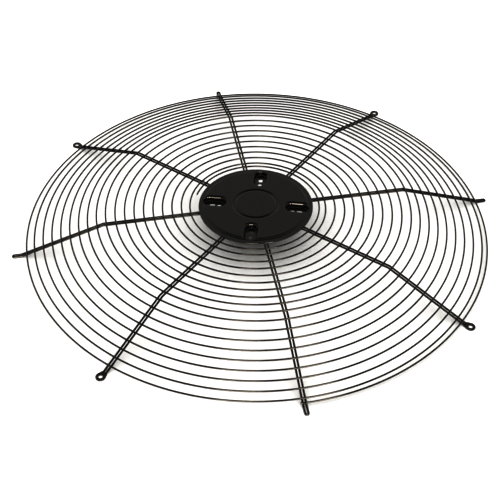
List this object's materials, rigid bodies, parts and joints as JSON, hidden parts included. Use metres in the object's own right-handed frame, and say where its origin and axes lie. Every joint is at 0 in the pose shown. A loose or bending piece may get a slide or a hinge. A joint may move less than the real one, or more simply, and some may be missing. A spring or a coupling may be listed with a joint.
{
  "type": "wire fan guard",
  "caption": "Round dished guard of one spiral wire welded to hairpin wire spokes, with flat screw eyes at the edge and a pressed motor plate in the middle.",
  "frame": {"origin": "centre of the guard, on the plane that its feet and fixing eyes rest on", "axes": "+Z along the fan's axis, out of the dish on its outer side; +X along a plain spoke, +Y along another plain spoke, a quarter turn from it"},
  "size_m": [0.725, 0.725, 0.048],
  "materials": {
    "wire_enamel": "gloss",
    "plate_enamel": "gloss"
  },
  "bodies": {
    "root": {"spiral_wire": "wire_enamel", "plain_spoke_right": "wire_enamel", "plain_spoke_back": "wire_enamel", "plain_spoke_left": "wire_enamel", "plain_spoke_front": "wire_enamel", "eye_spoke_back_right": "wire_enamel", "eye_spoke_back_left": "wire_enamel", "eye_spoke_front_left": "wire_enamel", "eye_spoke_front_right": "wire_enamel", "motor_plate": "plate_enamel"}
  },
  "joints": []
}
